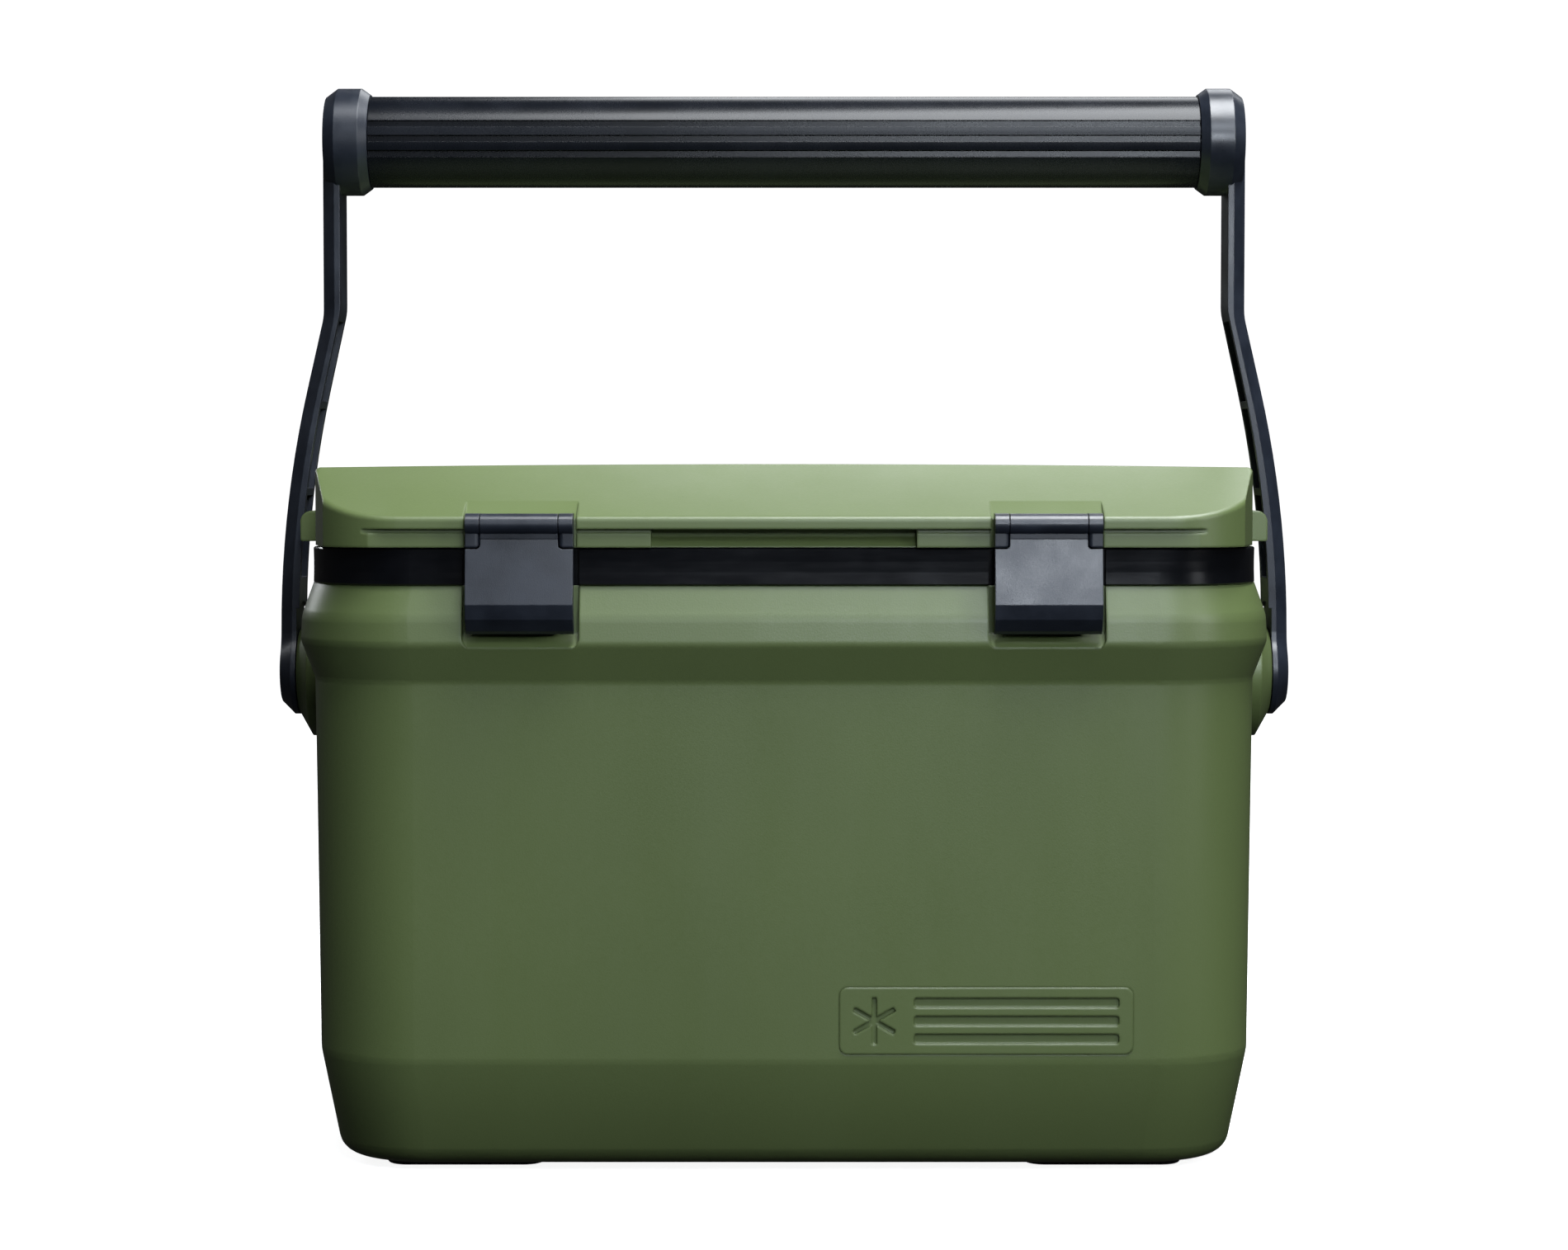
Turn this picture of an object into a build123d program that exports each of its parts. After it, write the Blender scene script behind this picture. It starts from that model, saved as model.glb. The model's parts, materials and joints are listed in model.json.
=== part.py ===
from build123d import *
import os
from math import atan, cos

# A small insulated carry cooler.  Millimetres, +Z up, front towards -Y, +X to the viewer's right.
# The origin is on the floor, under the middle of the cooler.

SIDES = ((-1, "left"), (1, "right"))

# ---- Driving sizes ----------------------------------------------------------------------------
skin = 2.6                      # moulded wall of the shells
fit = 0.05                      # radial clearance of a shaft in its hole
gap = 0.4                       # clearance between parts that move past each other

# Body: height, half width, half depth, corner radius and edge rounding of each level of the outer shell
body_levels = (
    (3.0, 172.8, 128.0, 36.0, 0),       # bottom
    (44.0, 180.6, 135.4, 40.0, 14.0),   # top of the tapered base
    (188.5, 182.1, 137.2, 42.0, 5.0),   # top of the straight wall
    (203.0, 187.4, 142.8, 46.0, 6.0),   # ridge of the shoulder
    (213.0, 186.8, 142.0, 45.0, 12.0),  # where the shoulder turns in
    (225.3, 182.5, 137.7, 42.0, 0),     # top of the shoulder
)
body_bottom = body_levels[0][0]
shoulder_top = body_levels[-1][0]
bottom_round = 8.0

# Feet, placed for the right front one
foot_x, foot_y = 123.5, -101.0
foot_length, foot_depth = 61.0, 24.0
foot_peg_radius, foot_peg_length = 3.0, 5.0

# Badge, low on the right of the front
badge_x, badge_z = 76.8, 59.8
badge_width, badge_height = 111.5, 25.6
badge_rise, badge_inlay = 0.35, 1.5     # how far the plate stands out of the shell and goes into it
mark_depth = 1.0

# Collar: the glossy band between the body and the lid
collar_half_x, collar_half_y, collar_corner = 182.2, 139.0, 41.0
collar_top = 239.2
collar_wall = 3.0
collar_hollow = 0.12            # how far the middle of its face is drawn in
seat_z = 236.0                  # the ledge that the gasket closes on

# Liner: the food tub
liner_half_x, liner_half_y, liner_corner = 159.0, 117.0, 30.0
liner_draft = 5.0
liner_floor_corner = 26.0
liner_floor = 28.0
liner_wall = 2.5
liner_round = 12.0

# Lid
lid_bottom = collar_top + gap
lid_top = 271.0
lid_half_x, lid_half_y, lid_corner = 182.0, 141.6, 36.0
lid_wall = 2.8
lip_bottom, lip_top = 246.6, 251.0
lid_crown = 1.3                 # how far the top falls from the middle to the sides
lid_round = 2.2
lid_flat_x, lid_flat_y = 169.9, 96.0     # in plan, the flats that the corners run out in
facet_back_y = -93.6     # where the sloping front meets the top
skirt_step = 1.6                # how far the skirt stands back from the lip
plug_drop = 13.0                # how far the lid's inner plug hangs into the tub
plug_half_x, plug_half_y, plug_corner = 155.0, 113.0, 26.0
lug_reach = 197.0
lug_front, lug_back = -30.0, -17.0
pull_half = 50.0                # finger pull in the skirt
pull_depth = 8.6

# Latches
latch_x = 99.1
latch_half = 20.15
pocket_half = 22.1
pocket_floor_y = -136.0
pocket_bottom = 201.6
notch_half = 21.2
notch_wall_y = -138.5
latch_axis_y, latch_axis_z = -145.5, 248.5
roll_radius = 4.0
ear_width = 5.3
ear_gap = 0.3                   # seam between an ear and the latch
latch_pin_radius = 1.5

# Hinges
hinge_x = 100.0
hinge_half = 20.0
hinge_axis_y, hinge_axis_z = 146.3, 243.0
knuckle_radius = 4.2
knuckle_split = 9.8             # half length of the middle knuckle
hinge_pin_radius = 1.8
leaf_thickness = 2.0

# Handle
pivot_z = 185.0
grip_rise = 219.0               # grip axis above the pivot axis
arm_low_inner, arm_low_outer = 200.2, 208.4
pivot_seat_x = 201.4            # the arm's recessed face that turns beside the boss
arm_top_inner, arm_top_outer = 182.6, 190.0
arm_big_end = 18.0
arm_half_depth = 12.0
cap_radius = 22.0
cap_inner_x = 170.6
arm_bevel = 5.0
grip_radius = 18.7
groove_pitch = 6.1
tube_radius, tube_bore = 8.0, 6.8
boss_face_x = 201.0
boss_radius = 27.0
bush_radius = 6.0
bush_head_radius = 11.5
flange_radius, flange_depth = 14.0, 2.6

grip_z = pivot_z + grip_rise
tube_end = arm_top_outer - 5.4
cap_screw_seat = arm_top_outer - 3.4


# ---- Helpers ----------------------------------------------------------------------------------
def rounded_rect(half_x, half_y, corner, z):
    return Pos(0, 0, z) * RectangleRounded(2 * half_x, 2 * half_y, corner)


def rounded_slab(half_x, half_y, corner, z_low, z_high):
    return extrude(rounded_rect(half_x, half_y, corner, z_low), z_high - z_low)


def stacked(levels):
    """A solid through rounded rectangles, one per (z, half_x, half_y, corner)."""
    faces = [rounded_rect(half_x, half_y, corner, z) for z, half_x, half_y, corner in levels]
    return loft(faces, ruled=True)


def box(x_low, x_high, y_low, y_high, z_low, z_high):
    size = (x_high - x_low, y_high - y_low, z_high - z_low)
    return Pos(x_low, y_low, z_low) * Box(*size, align=(Align.MIN, Align.MIN, Align.MIN))


def side_profile(points, x_low, x_high):
    """A closed outline of (y, z) points, extruded along X."""
    face = make_face(Polyline(*[(x_low, y, z) for y, z in points], close=True))
    return extrude(face, x_high - x_low, dir=(1, 0, 0))


def rod_x(radius, x_low, x_high, y, z):
    align = (Align.CENTER, Align.CENTER, Align.MIN)
    return Pos(x_low, y, z) * Rot(0, 90, 0) * Cylinder(radius, x_high - x_low, align=align)


def cone_x(radius_low, radius_high, x_low, x_high, y, z):
    align = (Align.CENTER, Align.CENTER, Align.MIN)
    return Pos(x_low, y, z) * Rot(0, 90, 0) * Cone(radius_low, radius_high, x_high - x_low, align=align)


def rod_y(radius, y_low, y_high, x, z):
    align = (Align.CENTER, Align.CENTER, Align.MIN)
    return Pos(x, y_high, z) * Rot(90, 0, 0) * Cylinder(radius, y_high - y_low, align=align)


def rod_z(radius, z_low, z_high, x, y):
    align = (Align.CENTER, Align.CENTER, Align.MIN)
    return Pos(x, y, z_low) * Cylinder(radius, z_high - z_low, align=align)


def on_side(part, side):
    """Parts are drawn on the right (+X); the left one is its mirror image."""
    if side > 0:
        return part
    return mirror(part, about=Plane.YZ)


def edges_at_height(part, z):
    return part.edges().filter_by_position(Axis.Z, z - 0.01, z + 0.01)


def flat_screw_y(x, z, head_y, reach, shank_radius, head_radius, direction):
    """A countersunk screw along Y whose head's face is at head_y, pointing along direction.

    Gives the room that it takes up in its neighbours.  The screw itself is cross_drive() of this.
    """
    align = (Align.CENTER, Align.CENTER, Align.MIN)
    head = Cone(head_radius, shank_radius, head_radius - shank_radius, align=align)
    shank = Cylinder(shank_radius, reach, align=align)
    return Pos(x, head_y, z) * Rot(-90 * direction, 0, 0) * (head + shank)


def cross_drive(screw, direction):
    """A screw made by flat_screw_y with the cross for the driver cut into its head."""
    bounds = screw.bounding_box()
    centre = bounds.center()
    half = 0.3 * bounds.size.X
    face_y = bounds.min.Y if direction > 0 else bounds.max.Y
    across = box(-half, half, -0.6, 0.6, -0.45, 0.45) + box(-0.45, 0.45, -0.6, 0.6, -half, half)
    return screw - Pos(centre.X, face_y, centre.Z) * across


# ---- Body -------------------------------------------------------------------------------------
def body_block(inset):
    levels = [(z, x - inset, y - inset, corner - inset) for z, x, y, corner, rounding in body_levels]
    bottom = levels[0]
    levels[0] = (bottom[0] + inset,) + bottom[1:]
    block = stacked(levels)
    for z, x, y, corner, rounding in body_levels:
        if rounding > 0:
            block = fillet(edges_at_height(block, z), rounding)
    return fillet(edges_at_height(block, body_bottom + inset), bottom_round - inset)


def latch_pocket(inset):
    """The recess under one latch, grown by inset, centred on x = 0."""
    floor_y = pocket_floor_y + inset
    bottom = pocket_bottom - inset
    half = pocket_half + inset
    outline = (
        (-160.0, bottom),
        (-142.8, bottom),
        (floor_y, bottom + 5.4),
        (floor_y, lid_bottom),
        (-160.0, lid_bottom),
    )
    side_view = side_profile(outline, -half, half)
    front_view = RectangleRounded(2 * half, 2 * (lid_bottom - bottom), 4.0 + inset)
    window = extrude(Pos(0, -120, lid_bottom) * Rot(90, 0, 0) * front_view, 45)
    return side_view & window


def handle_boss():
    """The boss welded to the body's side, which the handle swings on."""
    base = rod_x(boss_radius, body_levels[1][1], 195.6, 0, pivot_z)
    nose = cone_x(boss_radius, 17.6, 195.6, boss_face_x, 0, pivot_z)
    return base + nose - body_block(0) - pivot_socket_space()


def pivot_socket():
    sleeve = rod_x(10.0, 183.0, boss_face_x, 0, pivot_z)
    bore = rod_x(bush_radius + fit, 187.0, boss_face_x, 0, pivot_z)
    screw_way = rod_x(2.5 + gap, 183.0, 187.0, 0, pivot_z)
    return sleeve - bore - screw_way


def pivot_socket_space():
    return rod_x(10.0, 183.0, boss_face_x, 0, pivot_z)


def foot():
    """One rubber foot, drawn for the right front corner."""
    pad = Pos(foot_x, foot_y, 0) * extrude(RectangleRounded(foot_length, foot_depth, 8), body_bottom)
    pad = fillet(edges_at_height(pad, 0), 1.0)
    for peg_x in (foot_x - 15.5, foot_x + 15.5):
        pad += rod_z(foot_peg_radius, body_bottom, body_bottom + foot_peg_length, peg_x, foot_y)
    return pad


def feet():
    placed = {}
    for side, side_name in SIDES:
        front = on_side(foot(), side)
        placed["foot_front_" + side_name] = front
        placed["foot_rear_" + side_name] = mirror(front, about=Plane.XZ)
    return placed


def liner_levels(grow):
    floor_x = liner_half_x - liner_draft
    floor_y = liner_half_y - liner_draft
    return (
        (liner_floor - grow, floor_x + grow, floor_y + grow, liner_floor_corner + grow),
        (shoulder_top, liner_half_x + grow, liner_half_y + grow, liner_corner + grow),
    )


def liner_block(grow, top):
    tub = stacked(liner_levels(grow))
    tub = fillet(edges_at_height(tub, liner_floor - grow), liner_round + grow)
    neck = rounded_slab(liner_half_x + grow, liner_half_y + grow, liner_corner + grow, shoulder_top, top)
    return tub + neck


def around_tub(grow, z_low, z_high):
    return rounded_slab(liner_half_x + grow, liner_half_y + grow, liner_corner + grow, z_low, z_high)


def collar_ring():
    """A ring with a slightly hollow face and a small bevel along both edges."""
    bevel = 0.5
    middle = (shoulder_top + collar_top) / 2
    steps = (
        (shoulder_top, bevel),
        (shoulder_top + bevel, 0),
        (middle - 2, collar_hollow),
        (middle + 2, collar_hollow),
        (collar_top - bevel, 0),
        (collar_top, bevel),
    )
    outer = stacked([
        (z, collar_half_x - inset, collar_half_y - inset, collar_corner - inset) for z, inset in steps
    ])
    return outer - around_tub(liner_wall, shoulder_top, collar_top) - around_tub(6, seat_z, collar_top)


def collar_channel():
    inset = collar_wall
    outer = rounded_slab(
        collar_half_x - inset, collar_half_y - inset, collar_corner - inset, shoulder_top, seat_z - inset
    )
    return outer - around_tub(liner_wall + collar_wall, shoulder_top, seat_z - inset)


# ---- Badge ------------------------------------------------------------------------------------
def on_front(sketch, rise):
    """A flat outline, drawn in (x, z), raised from the body's front by rise."""
    window = extrude(Pos(0, -110, 0) * Rot(90, 0, 0) * sketch, 40)
    return window & body_block(-rise)


def badge_plate_block():
    plate = Pos(badge_x, badge_z) * RectangleRounded(badge_width, badge_height, 3.2)
    return on_front(plate, badge_rise) - body_block(badge_inlay)


def wall_y(z):
    """The depth of the body's flat front at height z on its straight wall."""
    low, high = body_levels[1], body_levels[2]
    share = (z - low[0]) / (high[0] - low[0])
    return -(low[2] + share * (high[2] - low[2]))


def badge():
    """A blank name plate with a plain snowflake and three bars sunk into it."""
    flake_x, bars_x = badge_x - 42.5, badge_x + 11.5
    bar_length, bar_height, bar_pitch = 78.0, 3.8, 6.9
    arm_length, arm_width = 18.0, 1.9
    bar = RectangleRounded(bar_length, bar_height, 1.2)
    arm = RectangleRounded(arm_length, arm_width, 0.6)
    marks = [Pos(bars_x, badge_z + row * bar_pitch) * bar for row in (-1, 0, 1)]
    marks += [Pos(flake_x, badge_z) * Rot(0, 0, turn) * arm for turn in (30, 90, 150)]
    plate = badge_plate_block()
    for mark in marks:
        floor_y = wall_y(mark.bounding_box().center().Y) - badge_rise + mark_depth
        plate -= extrude(Pos(0, floor_y, 0) * Rot(90, 0, 0) * mark, 10)
    return plate


# ---- Latch catch --------------------------------------------------------------------------------
catch_screw_z = 228.0


def latch_catch():
    """The keeper in the pocket, centred on x = 0: a plate with a rounded rib across it."""
    plate = box(-15, 15, pocket_floor_y - 2, pocket_floor_y, 210, 233)
    plate = fillet(plate.edges().filter_by(Axis.Y), 2.0)
    rib = rod_x(2.0, -13, 13, pocket_floor_y - 2, 218.5)
    return plate + (rib & box(-15, 15, -150, pocket_floor_y, 200, 240))


def catch_screws():
    return [flat_screw_y(x, catch_screw_z, pocket_floor_y - 2, 10.0, 1.6, 3.0, 1) for x in (-9.0, 9.0)]


# ---- Lid ----------------------------------------------------------------------------------------
facet_slope = (lid_top - lip_top) / (facet_back_y + lid_half_y)


def lid_flats(inset):
    """A prism whose slightly turned sides give each corner of the lid its upright edge."""
    run = (lid_half_x - lid_flat_x) / (150.0 - lid_flat_y)
    end_x = lid_half_x - inset - run * (160.0 - lid_flat_y)
    side_x = lid_half_x - inset
    back = [(side_x, lid_flat_y), (end_x, 160.0), (-end_x, 160.0), (-side_x, lid_flat_y)]
    front = [(-x, -y) for x, y in back]
    outline = Polyline(*back, *front, close=True)
    return extrude(Pos(0, 0, lid_bottom - 5) * make_face(outline), 60)


def lid_block(inset):
    """The lid's outside, or its inside when inset is the wall."""
    block = rounded_slab(lid_half_x - inset, lid_half_y - inset, lid_corner - inset, lid_bottom, lid_top + 2)
    drop = inset / cos(atan(facet_slope))
    cut = (
        (-lid_half_y - 20, lip_top - 20 * facet_slope - drop),
        (facet_back_y + 20, lid_top + 20 * facet_slope - drop),
        (facet_back_y + 20, lid_top + 60),
        (-lid_half_y - 20, lid_top + 60),
    )
    block -= side_profile(cut, -250, 250)
    crown_radius = lid_half_x ** 2 / (2 * lid_crown)
    crown = rod_y(crown_radius, -300, 300, 0, lid_top - inset - crown_radius)
    block &= crown
    upper = [edge for edge in block.edges() if edge.bounding_box().min.Z > lid_bottom + 1]
    return fillet(upper, lid_round) & lid_flats(inset)


def latch_notch(inset):
    """The notch in the lid for one latch, grown by inset, centred on x = 0."""
    outline = (
        (-160.0, lid_bottom - 1),
        (notch_wall_y, lid_bottom - 1),
        (notch_wall_y, 250.5),
        (-127.9, 256.6),
        (-120.0, 261.3),
        (-160.0, 280.0),
    )
    half = notch_half + inset
    return Pos(0, inset, -inset) * side_profile(outline, -half, half)


def finger_pull(inset):
    """A scoop in the skirt, deepest under the lip and running out at the bottom edge."""
    half = pull_half + inset
    deepest = -lid_half_y + pull_depth + inset
    roof = lip_bottom + inset
    outline = (
        (-160.0, lid_bottom - 1),
        (deepest - 5.6, lid_bottom - 1),
        (deepest - 5.2, lid_bottom),
        (deepest - 2.6, lid_bottom + 2.0),
        (deepest - 0.6, lid_bottom + 4.0),
        (deepest, roof - 1.2),
        (deepest - 1.0, roof),
        (-160.0, roof),
    )
    return side_profile(outline, -half, half)


def lid_lug():
    """The block on the lid's side that stands in front of the handle's arm."""
    lug = box(lid_half_x - 3, lug_reach, lug_front, lug_back, lid_bottom, lid_bottom + 12.4)
    upper = lug.edges().filter_by(Axis.Y).sort_by_distance((lug_reach, lug_front, lid_bottom + 12.4))[0:1]
    lug = fillet(upper, 4.5)
    lower = lug.edges().filter_by(Axis.Y).sort_by_distance((lug_reach, lug_front, lid_bottom))[0:1]
    return fillet(lower, 1.0)


def plug_block(inset, z_low, z_high):
    return rounded_slab(plug_half_x - inset, plug_half_y - inset, plug_corner - inset, z_low, z_high)


# ---- Latch --------------------------------------------------------------------------------------
def latch_body():
    """One latch, centred on x = 0."""
    outline = (
        (-147.0, 244.6),
        (-147.6, 240.2),
        (-150.5, 218.4),
        (-149.3, 212.8),
        (-146.0, 208.4),
        (-144.4, 207.2),
        (-141.6, 207.2),
        (-140.8, 208.6),
        (-140.8, 212.4),
        (-143.0, 215.2),
        (-143.0, 242.0),
        (-143.8, 244.6),
    )
    panel = side_profile(outline, -latch_half, latch_half)
    for end in (-1, 1):
        ear_room = box(latch_half - ear_width - ear_gap, 30, -170, -130, 239.2, 260)
        ear_room = fillet(ear_room.edges().filter_by(Axis.Y).sort_by_distance((14.4, -150, 239.2))[0:1], 1.6)
        panel -= on_side(ear_room, end)
    roll_half = latch_half - ear_width - ear_gap
    roll = rod_x(roll_radius, -roll_half, roll_half, latch_axis_y, latch_axis_z)
    neck = box(-roll_half, roll_half, -147.4, -143.8, 243.0, 247.0)
    groove = rod_x(0.9, -roll_half, roll_half, -148.4, 243.9)
    hollow = box(-latch_half + 2.2, -1.2, -147.6, -130.0, 217.5, 237.0)
    hollow += box(1.2, latch_half - 2.2, -147.6, -130.0, 217.5, 237.0)
    pin_hole = rod_x(latch_pin_radius + fit, -30, 30, latch_axis_y, latch_axis_z)
    return panel + neck + roll - groove - hollow - pin_hole


def latch_bracket():
    """Two ears on a back plate, centred on x = 0.  The plate is let into the lid's notch."""
    back = box(-latch_half, latch_half, notch_wall_y - 2.0, notch_wall_y, 240.2, 249.4)
    bracket = back
    for end in (-1, 1):
        inner = latch_half - ear_width
        tab = box(inner, latch_half, -147.5, notch_wall_y, 239.6, latch_axis_z)
        low_front = tab.edges().filter_by(Axis.X).sort_by_distance((17, -147.5, 239.6))[0:1]
        tab = fillet(low_front, 0.8)
        low_inner = tab.edges().filter_by(Axis.Y).sort_by_distance((inner, -143, 239.6))[0:1]
        tab = fillet(low_inner, 1.6)
        tab -= rod_x(0.9, 0, 30, -148.4, 243.9)
        head = rod_x(roll_radius, inner, latch_half, latch_axis_y, latch_axis_z)
        head += box(inner, latch_half, latch_axis_y, notch_wall_y, 244.8, latch_axis_z + roll_radius)
        bracket += on_side(tab + head, end)
    pin_hole = rod_x(latch_pin_radius, -30, 30, latch_axis_y, latch_axis_z)
    return bracket - pin_hole


def latch_pin():
    return rod_x(latch_pin_radius, -latch_half, latch_half, latch_axis_y, latch_axis_z)


def bracket_screws():
    return [flat_screw_y(x, 244.8, notch_wall_y - 2.0, 7.0, 1.4, 2.6, 1) for x in (-7.0, 7.0)]


# ---- Rear hinge -----------------------------------------------------------------------------------
def hinge_leaf_body():
    """Screwed to the back of the collar; its two outer knuckles carry the pin."""
    leaf = box(-hinge_half, hinge_half, collar_half_y, collar_half_y + leaf_thickness, 226.4, 238.6)
    for end in (-1, 1):
        web = box(knuckle_split + gap, hinge_half, collar_half_y, hinge_axis_y, 233.0, collar_top - 0.2)
        cheek = box(knuckle_split + gap, hinge_half, 142.2, hinge_axis_y, 238.0, hinge_axis_z)
        knuckle = rod_x(knuckle_radius, knuckle_split + gap, hinge_half, hinge_axis_y, hinge_axis_z)
        leaf += on_side(web + cheek + knuckle, end)
    return leaf - rod_x(hinge_pin_radius, -30, 30, hinge_axis_y, hinge_axis_z)


def hinge_leaf_lid():
    """Screwed to the back of the lid; its middle knuckle turns on the pin."""
    back = lid_half_y + leaf_thickness
    leaf = box(-hinge_half, hinge_half, lid_half_y, back, 248.2, 264.0)
    leaf = fillet(leaf.edges().filter_by(Axis.Y), 1.5)
    web = box(-knuckle_split, knuckle_split, lid_half_y, hinge_axis_y, hinge_axis_z, 250.0)
    knuckle = rod_x(knuckle_radius, -knuckle_split, knuckle_split, hinge_axis_y, hinge_axis_z)
    return leaf + web + knuckle - rod_x(hinge_pin_radius + fit, -30, 30, hinge_axis_y, hinge_axis_z)


def hinge_pin():
    return rod_x(hinge_pin_radius, -hinge_half, hinge_half, hinge_axis_y, hinge_axis_z)


def hinge_body_screws():
    return [flat_screw_y(x, 230.0, collar_half_y + leaf_thickness, 8.0, 1.6, 3.0, -1) for x in (-13.0, 13.0)]


def hinge_lid_screws():
    return [flat_screw_y(x, 257.0, lid_half_y + leaf_thickness, 8.0, 1.6, 3.0, -1) for x in (-13.0, 13.0)]


# ---- Handle ---------------------------------------------------------------------------------------
def handle_arm():
    """The right arm with its end cap: a strip that leans inwards, seen from the front, on a round big end."""
    low, top = pivot_z - 30, grip_z
    bend_low, bend_high = 252.0, 332.0
    outline = Polyline(
        (arm_low_outer, low),
        (arm_low_outer, bend_low),
        (arm_top_outer, bend_high),
        (arm_top_outer, top),
        (arm_top_inner, top),
        (arm_top_inner, bend_high + 2),
        (arm_low_inner, bend_low + 2),
        (arm_low_inner, low),
        close=True,
    )
    front_view = make_face(outline)
    easy = front_view.vertices().filter_by_position(Axis.Y, bend_low - 1, bend_low + 3)
    front_view = fillet(easy, 450)
    tight = front_view.vertices().filter_by_position(Axis.Y, bend_high - 1, bend_high + 3)
    front_view = fillet(tight, 25)
    strip = extrude(Pos(0, 30, 0) * Rot(90, 0, 0) * front_view, 60)

    big_end = Pos(0, pivot_z) * Circle(arm_big_end)
    stem = Pos(0, pivot_z) * Rectangle(2 * arm_half_depth, grip_rise, align=(Align.CENTER, Align.MIN))
    side_view = big_end + stem
    necks = side_view.vertices().filter_by_position(Axis.Y, pivot_z + 5, pivot_z + arm_big_end)
    side_view = fillet(necks, 9.0)
    blade = extrude(Plane.YZ.offset(170) * side_view, 50)
    arm = strip & blade
    outer_rim = arm.faces().sort_by(Axis.X)[-1].edges()
    arm = chamfer(outer_rim, arm_bevel)

    for low_z, high_z in ((224, 258), (261, 294), (297, 330)):
        arm -= arm_pocket(low_z, high_z)

    arm += end_cap()
    arm -= rod_x(tube_radius, cap_inner_x - 1, tube_end, 0, grip_z)
    arm -= handle_screw_space()
    arm -= rod_x(bush_radius + fit, 190, 215, 0, pivot_z)
    arm -= rod_x(bush_head_radius + gap, bush_seat_x, 215, 0, pivot_z)
    arm -= rod_x(flange_radius + gap, 190, pivot_seat_x + flange_depth, 0, pivot_z)
    arm -= rod_x(boss_radius + 2.0, 190, pivot_seat_x, 0, pivot_z)
    return arm


def arm_lean(z):
    """How far the arm's inner face has moved inwards at height z, along its long bend."""
    bend_start = 205.0
    bend_radius = 450.0
    rise = max(z - bend_start, 0)
    return rise * rise / (2 * bend_radius)


def arm_pocket(low_z, high_z):
    """A moulded recess in the arm's inner face, between two ribs."""
    depth = 3.0
    inner_low = arm_low_inner - arm_lean(low_z)
    inner_high = arm_low_inner - arm_lean(high_z)
    outline = (
        (inner_low - 12, low_z),
        (inner_low + depth, low_z),
        (inner_high + depth, high_z),
        (inner_high - 12, high_z),
    )
    face = make_face(Polyline(*[(x, -arm_half_depth + 3.5, z) for x, z in outline], close=True))
    return extrude(face, 2 * arm_half_depth - 7.0, dir=(0, 1, 0))


def end_cap():
    """The round cap that holds the grip: a ring with a bevel at each end, turned about the grip's axis."""
    outline = Polyline(
        (cap_inner_x, 0),
        (cap_inner_x, grip_radius + 0.7),
        (cap_inner_x + 3.6, cap_radius),
        (arm_top_outer - 6.0, cap_radius),
        (arm_top_outer - 1.2, cap_radius - 3.5),
        (arm_top_outer, 8.0),
        (arm_top_outer, 0),
        close=True,
    )
    turned = revolve(Plane.XZ * make_face(outline), axis=Axis.X)
    return Pos(0, 0, grip_z) * turned


bush_seat_x = arm_low_outer - 2.8


def pivot_bush():
    """The steel bush that the arm swings on: a thrust flange inside the arm and a head in its counterbore."""
    shaft = rod_x(bush_radius, 187.4, bush_seat_x + gap, 0, pivot_z)
    flange = rod_x(flange_radius, pivot_seat_x, pivot_seat_x + flange_depth - gap, 0, pivot_z)
    head = rod_x(bush_head_radius, bush_seat_x + gap, arm_low_outer - 0.2, 0, pivot_z)
    head = chamfer(head.faces().sort_by(Axis.X)[-1].edges(), 0.6)
    return shaft + flange + head - pivot_screw_space()


def pivot_screw_space():
    shank = rod_x(2.5, 183.4, arm_low_outer, 0, pivot_z)
    head = rod_x(4.6, arm_low_outer - 1.6, arm_low_outer, 0, pivot_z)
    return shank + head


def pivot_screw():
    shank = rod_x(2.5, 183.4, arm_low_outer - 1.6, 0, pivot_z)
    head = rod_x(4.6, arm_low_outer - 1.6, arm_low_outer - 0.3, 0, pivot_z)
    drive = box(arm_low_outer - 1.2, 215, -0.6, 0.6, pivot_z - 3, pivot_z + 3)
    drive += box(arm_low_outer - 1.2, 215, -3, 3, pivot_z - 0.6, pivot_z + 0.6)
    return shank + head - drive


def handle_screw():
    head_face = cap_screw_seat + 2.4
    shank = rod_x(2.5, 160.0, cap_screw_seat, 0, grip_z)
    head = rod_x(4.6, cap_screw_seat, head_face, 0, grip_z)
    drive = box(head_face - 1.0, 200, -0.6, 0.6, grip_z - 3, grip_z + 3)
    drive += box(head_face - 1.0, 200, -3, 3, grip_z - 0.6, grip_z + 0.6)
    return shank + head - drive


def handle_screw_space():
    return rod_x(2.5, 160.0, cap_screw_seat, 0, grip_z) + rod_x(4.6, cap_screw_seat, 195.0, 0, grip_z)


def grip_sleeve():
    """A hollow sleeve with long grooves on its front and back."""
    length = 2 * (cap_inner_x - gap / 2)
    outside = Circle(grip_radius)
    for height in (-groove_pitch, 0, groove_pitch):
        across = (grip_radius ** 2 - height ** 2) ** 0.5
        for end in (-1, 1):
            outside -= Pos(end * across, height) * Rectangle(2.8, 2.6)
    outside -= Circle(grip_radius - 3.2)
    sleeve = extrude(outside, length / 2, both=True)
    return Pos(0, 0, grip_z) * Rot(0, 90, 0) * Rot(0, 0, 90) * sleeve


def grip_end_plug():
    ring = rod_x(grip_radius - 3.2, 160.0, cap_inner_x - gap / 2, 0, grip_z)
    return ring - rod_x(tube_radius, 150, 180, 0, grip_z)


def grip_tube():
    outside = rod_x(tube_radius, -tube_end, tube_end, 0, grip_z)
    return outside - rod_x(tube_bore, -187.0, 187.0, 0, grip_z)


def tube_insert():
    return rod_x(tube_bore, 156.0, tube_end - 0.2, 0, grip_z) - rod_x(2.5, 150, 190, 0, grip_z)


# ---- Assembly -------------------------------------------------------------------------------------
nodes = {}


def add(name, part):
    nodes[name] = part


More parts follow.
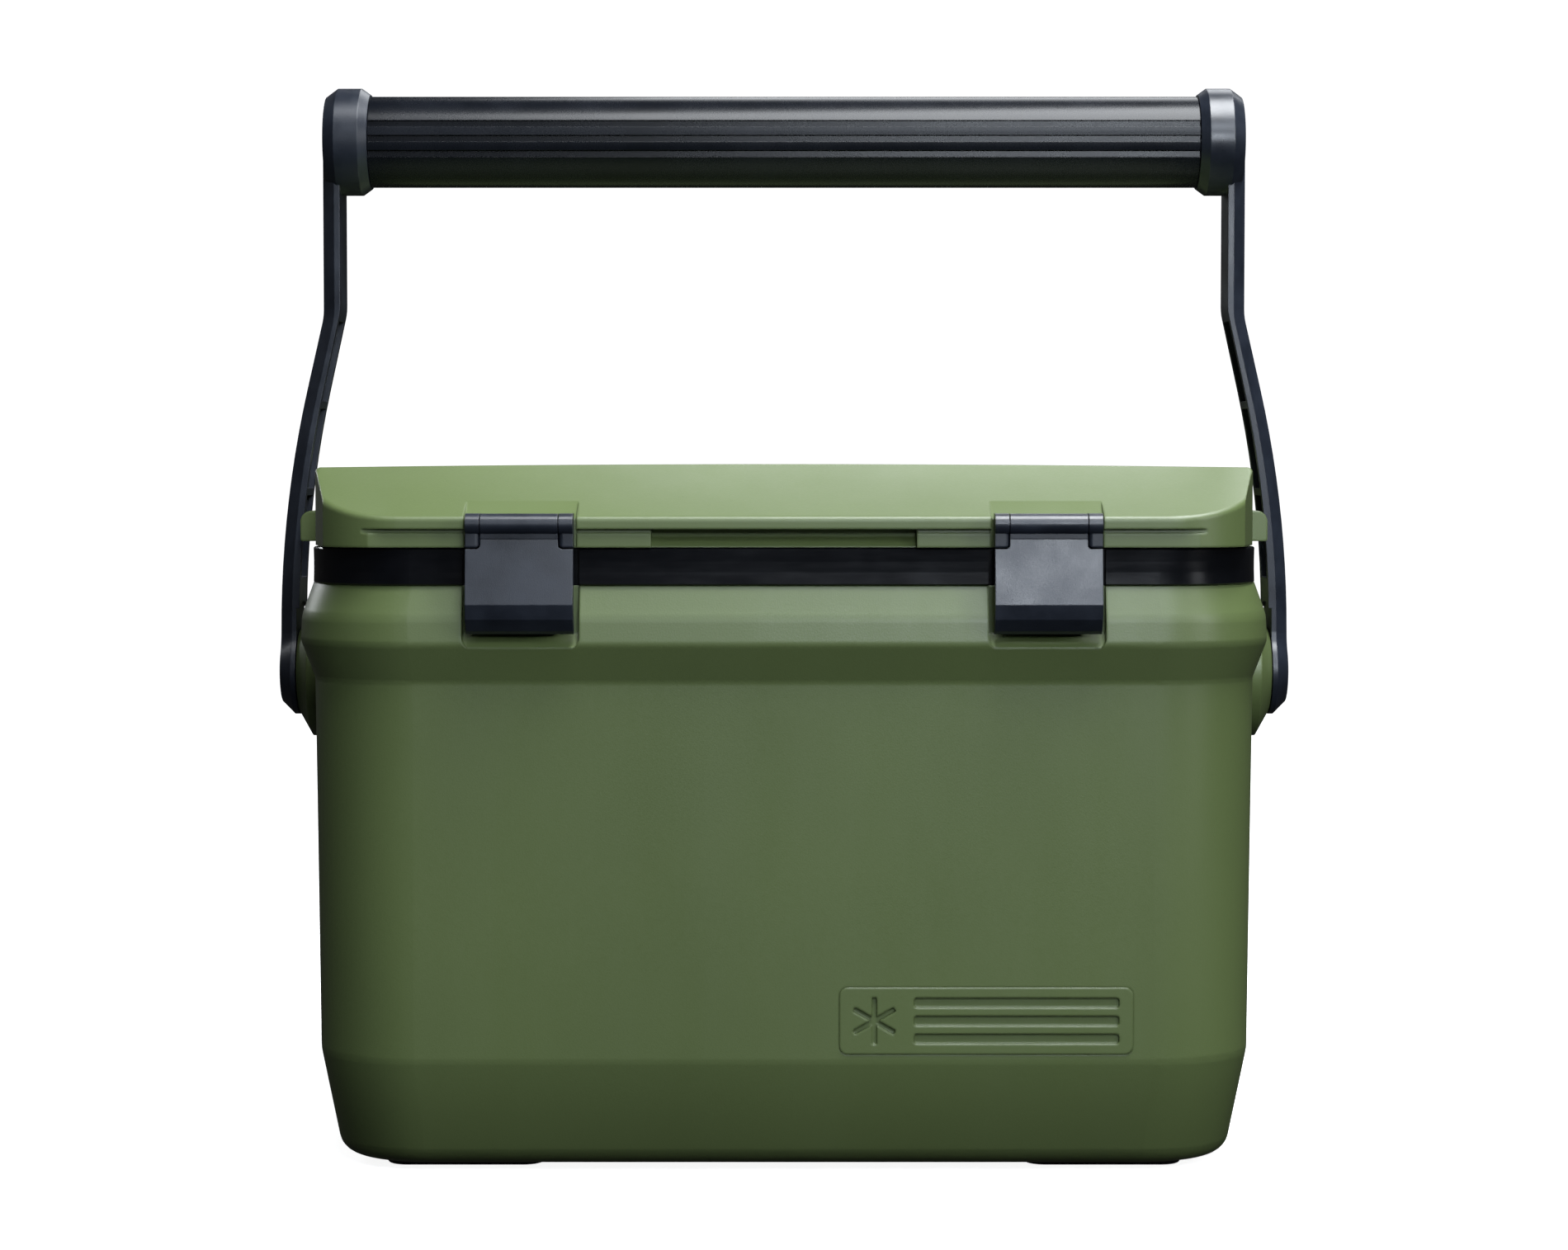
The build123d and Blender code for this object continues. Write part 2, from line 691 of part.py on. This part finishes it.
def at_latches(part):
    return [Pos(side * latch_x, 0, 0) * part for side, side_name in SIDES]


def at_hinges(part):
    return [Pos(side * hinge_x, 0, 0) * part for side, side_name in SIDES]


all_catch_screws = [screw for part in catch_screws() for screw in at_latches(part)]
all_bracket_screws = [screw for part in bracket_screws() for screw in at_latches(part)]
all_hinge_body_screws = [screw for part in hinge_body_screws() for screw in at_hinges(part)]
all_hinge_lid_screws = [screw for part in hinge_lid_screws() for screw in at_hinges(part)]
placed_feet = feet()

# Body: shell, foam, tub and collar
pocket_room = [Pos(side * latch_x, 0, 0) * latch_pocket(0) for side, side_name in SIDES]
pocket_backing = [Pos(side * latch_x, 0, 0) * latch_pocket(skin) for side, side_name in SIDES]
screw_bosses = [
    rod_y(4.0, collar_half_y - collar_wall - 8, collar_half_y, side * hinge_x + x, 230.0)
    for side, side_name in SIDES
    for x in (-13.0, 13.0)
]

shell_outside = body_block(0)
for part in pocket_room:
    shell_outside -= part

void = body_block(skin)
for part in pocket_backing:
    void -= part

channel = collar_channel()
for part in pocket_backing:
    channel -= part
for part in screw_bosses:
    channel -= part

outer_shell = shell_outside - void - badge_plate_block()
for side, side_name in SIDES:
    outer_shell -= on_side(pivot_socket_space(), side)
for part in placed_feet.values():
    outer_shell -= part
for part in all_catch_screws:
    outer_shell -= part
add("outer_shell", outer_shell)

collar = collar_ring() - channel
for part in pocket_room:
    collar -= part
for part in all_hinge_body_screws + all_catch_screws:
    collar -= part
add("rim_collar", collar)

liner_outside = liner_block(liner_wall, seat_z)
liner = liner_outside - liner_block(0, seat_z + 1)
add("inner_liner", liner)

foam = void + channel - liner_outside
for side, side_name in SIDES:
    foam -= on_side(pivot_socket_space(), side)
for part in placed_feet.values():
    foam -= part
for part in all_catch_screws + all_hinge_body_screws:
    foam -= part
add("body_foam", foam)

add("badge_plate", badge())

for name, part in placed_feet.items():
    add(name, part)

for side, side_name in SIDES:
    add("pivot_boss_" + side_name, on_side(handle_boss(), side))
    add("pivot_socket_" + side_name, on_side(pivot_socket(), side))
    catch = Pos(side * latch_x, 0, 0) * latch_catch()
    for part in all_catch_screws:
        catch -= part
    add("latch_catch_" + side_name, catch)
    leaf = Pos(side * hinge_x, 0, 0) * hinge_leaf_body()
    for part in all_hinge_body_screws:
        leaf -= part
    add("hinge_leaf_body_" + side_name, leaf)
    add("hinge_pin_" + side_name, Pos(side * hinge_x, 0, 0) * hinge_pin())

add("latch_catch_screws", Compound(children=[cross_drive(screw, 1) for screw in all_catch_screws]))
add("hinge_screws_body", Compound(children=[cross_drive(screw, -1) for screw in all_hinge_body_screws]))

# Lid: shell, foam, liner and gasket
notch_room = [Pos(side * latch_x, 0, 0) * latch_notch(0) for side, side_name in SIDES]
notch_backing = [Pos(side * latch_x, 0, 0) * latch_notch(lid_wall) for side, side_name in SIDES]

lid_outside = lid_block(0)
skirt_cut = box(-200, 200, -lid_half_y - 5, -lid_half_y + skirt_step, lid_bottom - 1, lip_bottom)
groove_cut = box(-200, 200, -lid_half_y - 5, -lid_half_y + skirt_step + 1.0, lip_bottom - 1.6, lip_bottom)
lid_outside -= skirt_cut
lid_outside -= groove_cut
for side, side_name in SIDES:
    lid_outside += on_side(lid_lug(), side)
for part in notch_room:
    lid_outside -= part
lid_outside -= finger_pull(0)

lid_inside = lid_block(lid_wall)
lid_inside -= finger_pull(lid_wall)
for part in notch_backing:
    lid_inside -= part
skirt_inside_y = -lid_half_y + skirt_step + 1.0 + lid_wall
lid_inside -= box(-200, 200, -lid_half_y, skirt_inside_y, lid_bottom - 1, lip_bottom + 1)

lid_shell = lid_outside - lid_inside
for part in all_hinge_lid_screws + all_bracket_screws:
    lid_shell -= part
add("lid_shell", lid_shell)

panel_top = lid_bottom + 2.5
panel = lid_inside & box(-200, 200, -200, 200, lid_bottom, panel_top)
plug = plug_block(0, lid_bottom - plug_drop, lid_bottom)
hollow = plug_block(2.5, lid_bottom - plug_drop + 2.5, panel_top)
gasket_low, gasket_high = seat_z + 0.35, lid_bottom + 1.2
gasket = rounded_slab(161.0, 119.0, 32.0, gasket_low, gasket_high)
gasket -= rounded_slab(156.4, 114.4, 27.4, gasket_low, gasket_high)
add("lid_liner", panel + plug - hollow - gasket)
add("lid_gasket", gasket)

lid_foam = lid_inside & box(-200, 200, -200, 200, panel_top, 300)
lid_foam += hollow
for part in all_hinge_lid_screws + all_bracket_screws:
    lid_foam -= part
add("lid_foam", lid_foam)

for side, side_name in SIDES:
    bracket = Pos(side * latch_x, 0, 0) * latch_bracket()
    for part in all_bracket_screws:
        bracket -= part
    add("latch_bracket_" + side_name, bracket)
    add("latch_pin_" + side_name, Pos(side * latch_x, 0, 0) * latch_pin())
    add("latch_" + side_name, Pos(side * latch_x, 0, 0) * latch_body())
    leaf = Pos(side * hinge_x, 0, 0) * hinge_leaf_lid()
    for part in all_hinge_lid_screws:
        leaf -= part
    add("hinge_leaf_lid_" + side_name, leaf)

add("latch_bracket_screws", Compound(children=[cross_drive(screw, 1) for screw in all_bracket_screws]))
add("hinge_screws_lid", Compound(children=[cross_drive(screw, -1) for screw in all_hinge_lid_screws]))

# Handle
for side, side_name in SIDES:
    add("handle_arm_" + side_name, on_side(handle_arm(), side))
    add("pivot_bush_" + side_name, on_side(pivot_bush(), side))
    add("grip_end_plug_" + side_name, on_side(grip_end_plug(), side))

add("pivot_screws", Compound(children=[on_side(pivot_screw(), side) for side, side_name in SIDES]))
add("handle_screws", Compound(children=[on_side(handle_screw(), side) for side, side_name in SIDES]))
add("grip_tube_inserts", Compound(children=[on_side(tube_insert(), side) for side, side_name in SIDES]))
add("grip_sleeve", grip_sleeve())
add("grip_core_tube", grip_tube())

os.makedirs("parts", exist_ok=True)
for name, part in nodes.items():
    export_step(part, "parts/" + name + ".step")
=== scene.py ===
import json
import math

import bpy
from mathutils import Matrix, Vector

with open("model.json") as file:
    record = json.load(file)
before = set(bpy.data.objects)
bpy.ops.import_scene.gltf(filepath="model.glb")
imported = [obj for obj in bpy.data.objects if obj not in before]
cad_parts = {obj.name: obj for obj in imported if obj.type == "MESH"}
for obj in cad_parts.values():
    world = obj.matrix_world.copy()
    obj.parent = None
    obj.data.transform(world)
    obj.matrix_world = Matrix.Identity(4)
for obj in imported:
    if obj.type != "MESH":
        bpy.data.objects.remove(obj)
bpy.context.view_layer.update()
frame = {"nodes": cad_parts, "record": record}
nodes = frame["nodes"]

# ---- Colours, linear ------------------------------------------------------------

GREEN = (0.104, 0.142, 0.051)
BLACK = (0.0120, 0.0155, 0.0240)


# ---- Node helpers ---------------------------------------------------------------


class Shader:
    """A material with a Principled shader and short calls that add nodes to it."""

    def __init__(self, name, rough=0.5, metal=0.0, coat=0.0, coat_rough=0.1, specular=0.5):
        self.material = bpy.data.materials.new(name)
        self.material.use_nodes = True
        self.tree = self.material.node_tree
        self.main = self.tree.nodes["Principled BSDF"]
        self.main.inputs["Roughness"].default_value = rough
        self.main.inputs["Metallic"].default_value = metal
        self.main.inputs["Coat Weight"].default_value = coat
        self.main.inputs["Coat Roughness"].default_value = coat_rough
        self.main.inputs["Specular IOR Level"].default_value = specular
        self.place = self.tree.nodes.new("ShaderNodeTexCoord").outputs["Object"]

    def link(self, source, target):
        self.tree.links.new(source, target)

    def stretched(self, scale):
        """The object's own coordinates, multiplied by scale (x, y, z)."""
        node = self.tree.nodes.new("ShaderNodeMapping")
        node.inputs["Scale"].default_value = scale
        self.link(self.place, node.inputs["Vector"])
        return node.outputs["Vector"]

    def noise(self, scale, detail=3.0, rough=0.5, vector=None):
        node = self.tree.nodes.new("ShaderNodeTexNoise")
        node.inputs["Scale"].default_value = scale
        node.inputs["Detail"].default_value = detail
        node.inputs["Roughness"].default_value = rough
        self.link(vector or self.place, node.inputs["Vector"])
        return node.outputs["Fac"]

    def cells(self, scale):
        node = self.tree.nodes.new("ShaderNodeTexVoronoi")
        node.inputs["Scale"].default_value = scale
        self.link(self.place, node.inputs["Vector"])
        return node.outputs["Distance"]

    def ramp(self, source, low, high, start=0.3, end=0.7):
        """source between start and end becomes a number or colour between low and high."""
        node = self.tree.nodes.new("ShaderNodeValToRGB")
        first, last = node.color_ramp.elements
        first.position, last.position = start, end
        first.color = (*low, 1) if isinstance(low, tuple) else (low, low, low, 1)
        last.color = (*high, 1) if isinstance(high, tuple) else (high, high, high, 1)
        self.link(source, node.inputs["Fac"])
        return node.outputs["Color"]

    def mix(self, factor, a, b):
        node = self.tree.nodes.new("ShaderNodeMix")
        node.data_type = "RGBA"
        node.inputs[0].default_value = factor
        for socket, value in ((node.inputs[6], a), (node.inputs[7], b)):
            if isinstance(value, tuple):
                socket.default_value = (*value, 1)
            else:
                self.link(value, socket)
        return node.outputs[2]

    def math(self, operation, a, b=0.0):
        node = self.tree.nodes.new("ShaderNodeMath")
        node.operation = operation
        for socket, value in ((node.inputs[0], a), (node.inputs[1], b)):
            if isinstance(value, float):
                socket.default_value = value
            else:
                self.link(value, socket)
        return node.outputs["Value"]

    def colour(self, source):
        self.link(source, self.main.inputs["Base Color"])

    def roughness(self, source):
        self.link(source, self.main.inputs["Roughness"])

    def bumps(self, *layers, edge=0.0):
        """layers are (height source, depth in metres), one bump on the next, over edges rounded by edge."""
        below = None
        if edge > 0:
            rounded = self.tree.nodes.new("ShaderNodeBevel")
            rounded.samples = 4
            rounded.inputs["Radius"].default_value = edge
            below = rounded.outputs["Normal"]
        for height, depth in layers:
            node = self.tree.nodes.new("ShaderNodeBump")
            node.inputs["Strength"].default_value = 1.0
            node.inputs["Distance"].default_value = depth
            self.link(height, node.inputs["Height"])
            if below is not None:
                self.link(below, node.inputs["Normal"])
            below = node.outputs["Normal"]
        self.link(below, self.main.inputs["Normal"])
        self.link(below, self.main.inputs["Coat Normal"])


def moulded_green():
    """Satin green moulded plastic: fine grain, slight flow marks and a slow colour drift."""
    s = Shader("shell_green", specular=0.5, coat=0.12, coat_rough=0.32)
    drift = s.noise(7.0, 3.0, 0.55)
    fine = s.noise(900.0, 2.0, 0.6)
    flow = s.noise(30.0, 4.0, 0.6, s.stretched((1.0, 1.0, 0.18)))
    darker = tuple(c * 0.90 for c in GREEN)
    lighter = tuple(c * 1.08 for c in GREEN)
    tone = s.ramp(drift, darker, lighter, 0.25, 0.75)
    tone = s.mix(0.16, tone, s.ramp(fine, darker, lighter, 0.3, 0.7))
    s.colour(tone)
    s.roughness(s.math("ADD", s.ramp(flow, 0.30, 0.40, 0.3, 0.7), s.ramp(fine, 0.0, 0.06, 0.3, 0.7)))
    s.bumps((s.cells(1500.0), 0.000012), (s.noise(26.0, 2.0, 0.4), 0.00006), edge=0.0012)
    return s.material


def moulded_black(name, rough, grain, tone=BLACK):
    """Black moulded plastic, slightly bluish, with a fine etched grain."""
    s = Shader(name, specular=0.55, coat=0.15, coat_rough=rough * 0.7)
    cloud = s.noise(60.0, 3.0, 0.6)
    fine = s.noise(1400.0, 2.0, 0.6)
    s.colour(s.ramp(cloud, tuple(c * 0.8 for c in tone), tuple(c * 1.35 for c in tone), 0.3, 0.7))
    s.roughness(s.math("ADD", s.ramp(cloud, rough - 0.07, rough + 0.06, 0.3, 0.7), s.ramp(fine, 0.0, 0.05)))
    s.bumps((s.cells(2200.0), grain), (s.noise(90.0, 2.0, 0.5), grain * 2.0), edge=0.0005)
    return s.material


def polished_black():
    """Gloss black plastic of the rim collar, with faint hairline wear."""
    s = Shader("gloss_black", specular=0.36, coat=0.12, coat_rough=0.06)
    cloud = s.noise(40.0, 3.0, 0.6)
    hair = s.noise(220.0, 3.0, 0.7, s.stretched((0.15, 1.0, 1.0)))
    s.colour(s.ramp(cloud, (0.0020, 0.0023, 0.0032), (0.0042, 0.0047, 0.0062), 0.3, 0.7))
    s.roughness(s.math("ADD", s.ramp(hair, 0.13, 0.19), s.ramp(cloud, 0.0, 0.04)))
    s.bumps((s.noise(55.0, 2.0, 0.5), 0.00006))
    return s.material


def grip_black():
    """The grip's black plastic, a little softer than the collar's."""
    s = Shader("grip_black", specular=0.25)
    cloud = s.noise(40.0, 3.0, 0.6)
    fine = s.noise(1500.0, 2.0, 0.6)
    s.colour(s.ramp(cloud, (0.0030, 0.0040, 0.0064), (0.0060, 0.0074, 0.0110), 0.3, 0.7))
    s.roughness(s.math("ADD", s.ramp(cloud, 0.24, 0.27, 0.3, 0.7), s.ramp(fine, 0.0, 0.03)))
    s.bumps((s.cells(2200.0), 0.000004), edge=0.0005)
    return s.material


def tub_grey():
    """Pale grey plastic of the tub and the lid's liner."""
    s = Shader("liner_grey", specular=0.45)
    cloud = s.noise(18.0, 3.0, 0.6)
    fine = s.noise(1200.0, 2.0, 0.6)
    s.colour(s.ramp(cloud, (0.40, 0.41, 0.40), (0.47, 0.48, 0.47), 0.3, 0.7))
    s.roughness(s.math("ADD", s.ramp(cloud, 0.34, 0.42), s.ramp(fine, 0.0, 0.05)))
    s.bumps((s.cells(1500.0), 0.00003), (s.noise(30.0), 0.0002))
    return s.material


def rigid_foam():
    """Yellowish insulation foam with small pores."""
    s = Shader("foam", rough=0.95, specular=0.2)
    pores = s.cells(420.0)
    s.colour(s.ramp(pores, (0.42, 0.33, 0.17), (0.62, 0.52, 0.30), 0.05, 0.6))
    s.bumps((pores, 0.0006))
    return s.material


def soft_rubber():
    """Matt black rubber of the feet and the gasket."""
    s = Shader("rubber_black", specular=0.35)
    fine = s.noise(900.0, 3.0, 0.7)
    s.colour(s.ramp(s.noise(70.0), (0.010, 0.010, 0.010), (0.020, 0.020, 0.021)))
    s.roughness(s.ramp(fine, 0.62, 0.78))
    s.bumps((fine, 0.00008))
    return s.material


def bare_metal(name, tone, rough):
    """Metal with a fine brushed grain along X."""
    s = Shader(name, metal=1.0)
    hair = s.noise(500.0, 3.0, 0.7, s.stretched((0.08, 1.0, 1.0)))
    s.colour(s.ramp(s.noise(90.0), tuple(c * 0.85 for c in tone), tone))
    s.roughness(s.ramp(hair, rough - 0.07, rough + 0.08))
    s.bumps((hair, 0.00002))
    return s.material


MATERIALS = {
    "shell_green": moulded_green(),
    "gloss_black": polished_black(),
    "black_plastic": moulded_black("black_plastic", 0.34, 0.000012),
    "liner_grey": tub_grey(),
    "foam": rigid_foam(),
    "rubber_black": soft_rubber(),
    "steel": bare_metal("steel", (0.60, 0.60, 0.61), 0.30),
    "aluminium": bare_metal("aluminium", (0.72, 0.73, 0.75), 0.34),
}

for part in frame["record"]["subparts"]:
    piece = nodes[part["node"]]
    piece.data.materials.clear()
    piece.data.materials.append(MATERIALS[part["material_slot"]])
grip = nodes["grip_sleeve"]
grip.data.materials[0] = grip_black()

# ---- Stage, light and camera ------------------------------------------------------

CAMERA_HEIGHT = 0.271         # above the floor
CAMERA_DISTANCE = 1.45        # in front of the middle of the cooler
CAMERA_AIM = 0.204            # height looked at
LENS = 80.0
SENSOR = 36.0
WORLD_STRENGTH = 0.02
WHITE = (1, 1, 1, 1)


def matt(name, tone):
    """The shader of a matt surface that isn't part of the cooler."""
    s = Shader(name, rough=0.9, specular=0.1)
    s.colour(s.ramp(s.noise(2.0), tuple(c * 0.99 for c in tone), tone))
    return s


def surround():
    """A round pale floor that curves up into a wall all the way round.  It glows a little more away from
    the middle, where less of the lamps' light reaches it."""
    flat, bend, top = 4.0, 1.5, 5.0
    steps, sides = 12, 72
    profile = [(flat * 0.5, 0.0), (flat, 0.0)]
    for step in range(1, steps + 1):
        angle = math.radians(90) * step / steps
        profile.append((flat + bend * math.sin(angle), bend * (1 - math.cos(angle))))
    profile.append((flat + bend, top))
    points = [(0.0, 0.0, 0.0)]
    for radius, height in profile:
        for side in range(sides):
            turn = math.tau * side / sides
            points.append((radius * math.cos(turn), radius * math.sin(turn), height))
    faces = [(0, 1 + side, 1 + (side + 1) % sides) for side in range(sides)]
    for ring in range(len(profile) - 1):
        inner = 1 + ring * sides
        outer = inner + sides
        for side in range(sides):
            after = (side + 1) % sides
            faces.append((inner + side, outer + side, outer + after, inner + after))
    mesh = bpy.data.meshes.new("floor")
    mesh.from_pydata(points, [], faces)
    for face in mesh.polygons:
        face.use_smooth = True
    white = matt("floor_white", (0.86, 0.86, 0.86))
    distance = white.tree.nodes.new("ShaderNodeVectorMath")
    distance.operation = "LENGTH"
    white.link(white.place, distance.inputs[0])
    share = white.math("DIVIDE", distance.outputs["Value"], flat + bend)
    white.main.inputs["Emission Color"].default_value = WHITE
    glow = white.ramp(share, 0.9, 1.0, 0.2, 0.6)
    white.link(glow, white.main.inputs["Emission Strength"])
    mesh.materials.append(white.material)
    floor = bpy.data.objects.new("floor", mesh)
    bpy.context.scene.collection.objects.link(floor)
    floor.visible_glossy = False
    floor.visible_diffuse = False


def black_flag():
    """A card in front of the cooler's foot that keeps the low lamp off the lowest part of the base."""
    half_width, front = 0.32, -0.36
    bottom, top = 0.001, 0.095
    corners = [
        (-half_width, front, bottom),
        (half_width, front, bottom),
        (half_width, front, top),
        (-half_width, front, top),
    ]
    mesh = bpy.data.meshes.new("flag")
    mesh.from_pydata(corners, [], [(0, 1, 2, 3)])
    black = matt("flag_black", (0.02, 0.02, 0.02))
    mesh.materials.append(black.material)
    flag = bpy.data.objects.new("flag", mesh)
    bpy.context.scene.collection.objects.link(flag)
    flag.visible_camera = False
    flag.visible_glossy = False
    flag.visible_diffuse = False


def lamp(name, place, aim, width, height, power, tone):
    """A rectangular area lamp, sizes in metres and power in watts."""
    data = bpy.data.lights.new(name, "AREA")
    data.shape = "RECTANGLE"
    data.size = width
    data.size_y = height
    data.energy = power
    data.color = tone
    light = bpy.data.objects.new(name, data)
    bpy.context.scene.collection.objects.link(light)
    light.location = place
    light.rotation_euler = (Vector(aim) - Vector(place)).to_track_quat("-Z", "Y").to_euler()


surround()
black_flag()
COOL = (0.94, 0.97, 1.0)
BLUE = (0.84, 0.91, 1.0)
lamp("overhead", (0.35, -0.4, 1.7), (0.0, -0.1, 0.25), 1.3, 0.7, 52, COOL)
lamp("back_top", (0.5, 1.5, 1.75), (0.0, 0.0, 0.27), 1.5, 0.9, 13, COOL)
lamp("front_high", (0.4, -1.75, 1.4), (0.0, 0.0, 0.2), 0.8, 0.45, 11, BLUE)
lamp("key_right", (1.35, -1.15, 0.75), (0.0, 0.0, 0.2), 0.4, 0.9, 8, COOL)
lamp("front_low", (0.36, -2.3, 0.72), (0.0, 0.0, 0.2), 0.55, 0.35, 14, BLUE)
lamp("fill_left", (-1.9, -1.3, 0.9), (0.0, 0.0, 0.2), 0.8, 1.2, 0.4, COOL)
lamp("back_low", (-1.6, 1.6, 0.95), (0.0, 0.1, 0.12), 0.9, 0.6, 10, COOL)

world = bpy.data.worlds.new("studio")
bpy.context.scene.world = world
world.use_nodes = True
background = world.node_tree.nodes["Background"]
background.inputs["Color"].default_value = WHITE
background.inputs["Strength"].default_value = WORLD_STRENGTH
bpy.context.scene.view_settings.view_transform = "Standard"

camera_data = bpy.data.cameras.new("camera")
camera_data.lens = LENS
camera_data.sensor_width = SENSOR
camera = bpy.data.objects.new("camera", camera_data)
bpy.context.scene.collection.objects.link(camera)
camera.location = (0.0, -CAMERA_DISTANCE, CAMERA_HEIGHT)
aim = Vector((0.0, 0.0, CAMERA_AIM))
camera.rotation_euler = (aim - camera.location).to_track_quat("-Z", "Y").to_euler()
bpy.context.scene.camera = camera
